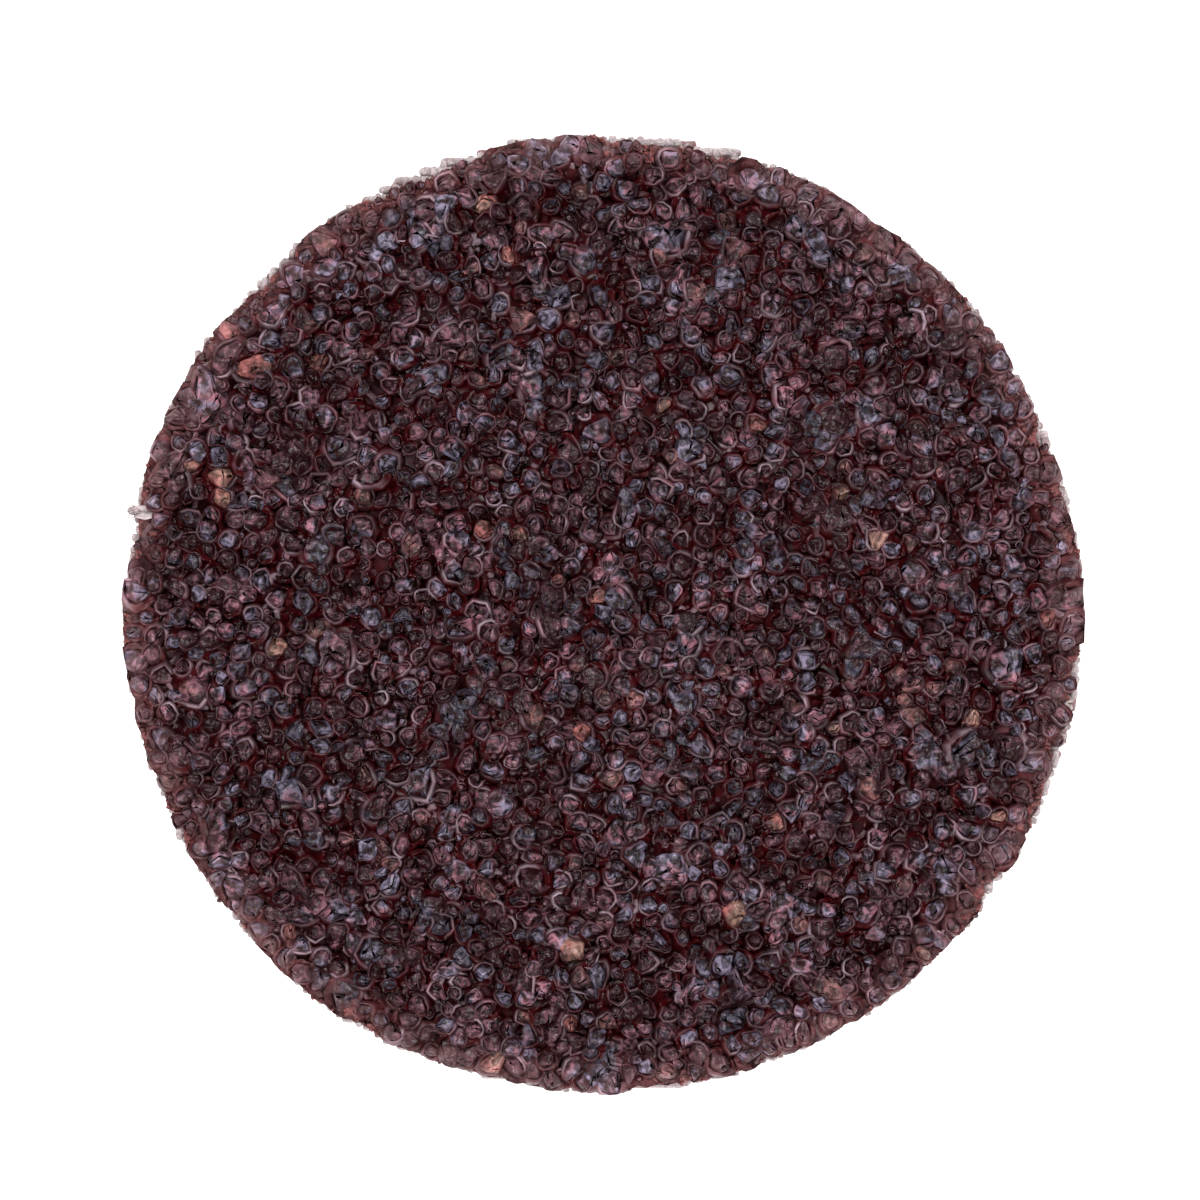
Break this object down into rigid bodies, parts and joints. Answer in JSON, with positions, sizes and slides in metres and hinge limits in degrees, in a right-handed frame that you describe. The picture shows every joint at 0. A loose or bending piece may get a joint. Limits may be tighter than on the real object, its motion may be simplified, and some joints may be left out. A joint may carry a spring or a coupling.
{
  "type": "angle grinder carving disc",
  "caption": "Round coarse-grain abrasive disc with no centre hole, two bonded cloth plies and a moulded roll-on threaded stud on its back, for shaping wood.",
  "frame": {"origin": "centre of the disc's back face, the face that seats on the holder's pad", "axes": "+Z along the disc's spin axis, out of the grain face; the threaded stud points along -Z; X runs along the warp yarns"},
  "size_m": [0.0508, 0.0508, 0.0104],
  "materials": {
    "size_resin": "glossy maroon phenolic resin, rounded up the sides of the grains",
    "make_resin": "dark maroon phenolic resin",
    "dark_grain": "blue-grey crushed alumina, glassy breaks",
    "red_grain": "red-brown crushed alumina under resin",
    "pale_grain": "pale peach crushed alumina",
    "cloth": "undyed spun polyester-cotton yarn",
    "laminating_glue": "cured laminating adhesive, dull",
    "back_size": "thin dull resin finish on the cloth's back",
    "hot_melt": "amber hot-melt adhesive, waxy",
    "moulded_nylon": "black moulded nylon, fine satin"
  },
  "bodies": {
    "root": {"size_coat": "size_resin", "dark_grain": "dark_grain", "red_grain": "red_grain", "pale_grain": "pale_grain", "make_coat": "make_resin", "front_weft_yarns": "cloth", "front_warp_yarns": "cloth", "laminating_glue": "laminating_glue", "rear_weft_yarns": "cloth", "rear_warp_yarns": "cloth", "back_size": "back_size", "button_glue": "hot_melt", "drive_button": "moulded_nylon"}
  },
  "joints": []
}
